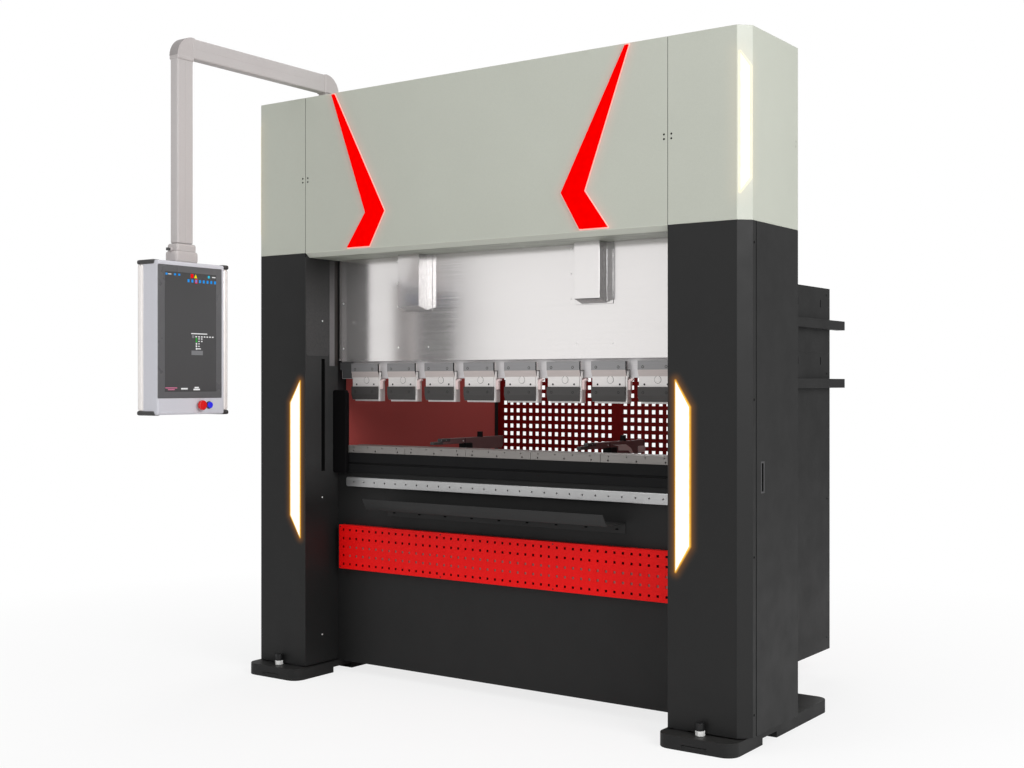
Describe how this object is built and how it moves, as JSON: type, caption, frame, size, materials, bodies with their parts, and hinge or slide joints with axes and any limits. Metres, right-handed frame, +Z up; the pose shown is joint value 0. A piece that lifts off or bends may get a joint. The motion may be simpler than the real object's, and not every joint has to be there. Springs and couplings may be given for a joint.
{
  "type": "press brake",
  "caption": "Sheet-metal press brake with lit columns, covered ram, quick clamps over a die rail, guarded rear, driven back gauge and a swinging control panel.",
  "frame": {"origin": "middle of the footprint, on the floor", "axes": "+X along the bending line to the operator's right, +Y from the operator to the rear, +Z up"},
  "size_m": [2.428, 2.33, 2.703],
  "materials": {
    "sage_paint": "satin",
    "anthracite_paint": "satin",
    "frame_paint": "matt",
    "red_paint": "satin",
    "brushed_steel": "brushed",
    "ground_steel": "ground",
    "hard_chrome": "polished",
    "clamp_steel": "ground",
    "arm_paint": "satin",
    "panel_aluminium": "satin",
    "screen_face": "gloss",
    "lamp_diffuser": "emissive",
    "accent_diffuser": "emissive",
    "stop_red": "gloss",
    "start_blue": "gloss"
  },
  "bodies": {
    "root": {"head_front": "sage_paint", "head_roof": "sage_paint", "head_shell_left": "sage_paint", "head_shell_right": "sage_paint", "column_cover_left": "anthracite_paint", "column_cover_right": "anthracite_paint", "foot_left": "anthracite_paint", "foot_right": "anthracite_paint", "bed_plate": "anthracite_paint", "table_beam": "anthracite_paint", "tool_tray": "anthracite_paint", "side_guard_left": "anthracite_paint", "side_guard_right": "anthracite_paint", "rear_wall_left": "anthracite_paint", "rear_wall_right": "anthracite_paint", "frame_left": "frame_paint", "frame_right": "frame_paint", "crosshead": "frame_paint", "cylinder_left": "frame_paint", "cylinder_right": "frame_paint", "gauge_base": "frame_paint", "tool_board": "red_paint", "rear_centre_panel": "red_paint", "support_rail": "brushed_steel", "die_rail": "ground_steel", "anchor_left": "ground_steel", "anchor_right": "ground_steel", "column_lamp_left": "lamp_diffuser", "column_lamp_right": "lamp_diffuser", "head_lamp_left": "lamp_diffuser", "head_lamp_right": "lamp_diffuser", "accent_left": "accent_diffuser", "accent_right": "accent_diffuser"},
    "ram": {"ram_beam": "frame_paint", "ram_panel": "brushed_steel", "drive_cover_left": "brushed_steel", "drive_cover_right": "brushed_steel", "rod_left": "hard_chrome", "rod_right": "hard_chrome", "clamp_1": "clamp_steel", "clamp_2": "clamp_steel", "clamp_3": "clamp_steel", "clamp_4": "clamp_steel", "clamp_5": "clamp_steel", "clamp_6": "clamp_steel", "clamp_7": "clamp_steel", "clamp_8": "clamp_steel"},
    "side_door_left": {"side_door_left": "anthracite_paint"},
    "side_door_right": {"side_door_right": "anthracite_paint"},
    "rear_door_left": {"rear_door_left": "red_paint"},
    "rear_door_right": {"rear_door_right": "red_paint"},
    "gauge_carriage": {"gauge_carriage": "frame_paint"},
    "gauge_beam": {"gauge_beam": "frame_paint"},
    "gauge_finger_left": {"gauge_finger_left": "anthracite_paint"},
    "gauge_finger_right": {"gauge_finger_right": "anthracite_paint"},
    "arm": {"arm_tube": "arm_paint"},
    "control_panel": {"panel_housing": "panel_aluminium", "panel_screen": "screen_face"},
    "stop_button": {"stop_button": "stop_red"},
    "start_button": {"start_button": "start_blue"}
  },
  "joints": [
    {"name": "ram_stroke", "type": "slide", "parent": "root", "child": "ram", "axis": [0, 0, 1], "range_m": [-0.19, 0]},
    {"name": "side_door_left_hinge", "type": "hinge", "parent": "root", "child": "side_door_left", "pos_m": [-1.214, 0.038, 0.055], "axis": [0, 0, -1], "range_deg": [0, 100]},
    {"name": "side_door_right_hinge", "type": "hinge", "parent": "root", "child": "side_door_right", "pos_m": [1.214, 0.038, 0.055], "axis": [0, 0, 1], "range_deg": [0, 100]},
    {"name": "rear_door_left_hinge", "type": "hinge", "parent": "root", "child": "rear_door_left", "pos_m": [-0.9177, 1.076, 0.105], "axis": [0, 0, 1], "range_deg": [0, 90]},
    {"name": "rear_door_right_hinge", "type": "hinge", "parent": "root", "child": "rear_door_right", "pos_m": [0.9177, 1.076, 0.105], "axis": [0, 0, -1], "range_deg": [0, 90]},
    {"name": "gauge_depth", "type": "slide", "parent": "root", "child": "gauge_carriage", "axis": [0, 1, 0], "range_m": [0, 0.45]},
    {"name": "gauge_lift", "type": "slide", "parent": "gauge_carriage", "child": "gauge_beam", "axis": [0, 0, 1], "range_m": [0, 0.06]},
    {"name": "finger_left_slide", "type": "slide", "parent": "gauge_beam", "child": "gauge_finger_left", "axis": [1, 0, 0], "range_m": [-0.3, 0.25]},
    {"name": "finger_right_slide", "type": "slide", "parent": "gauge_beam", "child": "gauge_finger_right", "axis": [1, 0, 0], "range_m": [-0.25, 0.35]},
    {"name": "arm_swing", "type": "hinge", "parent": "root", "child": "arm", "pos_m": [-1.003, -0.137, 2.556], "axis": [0, 0, 1], "range_deg": [-90, 50]},
    {"name": "panel_turn", "type": "hinge", "parent": "arm", "child": "control_panel", "pos_m": [-1.003, -1, 1.861], "axis": [0, 0, 1], "range_deg": [-120, 90]},
    {"name": "stop_press", "type": "slide", "parent": "control_panel", "child": "stop_button", "axis": [-1, 0, 0], "range_m": [0, 0.004]},
    {"name": "start_press", "type": "slide", "parent": "control_panel", "child": "start_button", "axis": [-1, 0, 0], "range_m": [0, 0.003], "stiffness_N_per_m": 600}
  ]
}
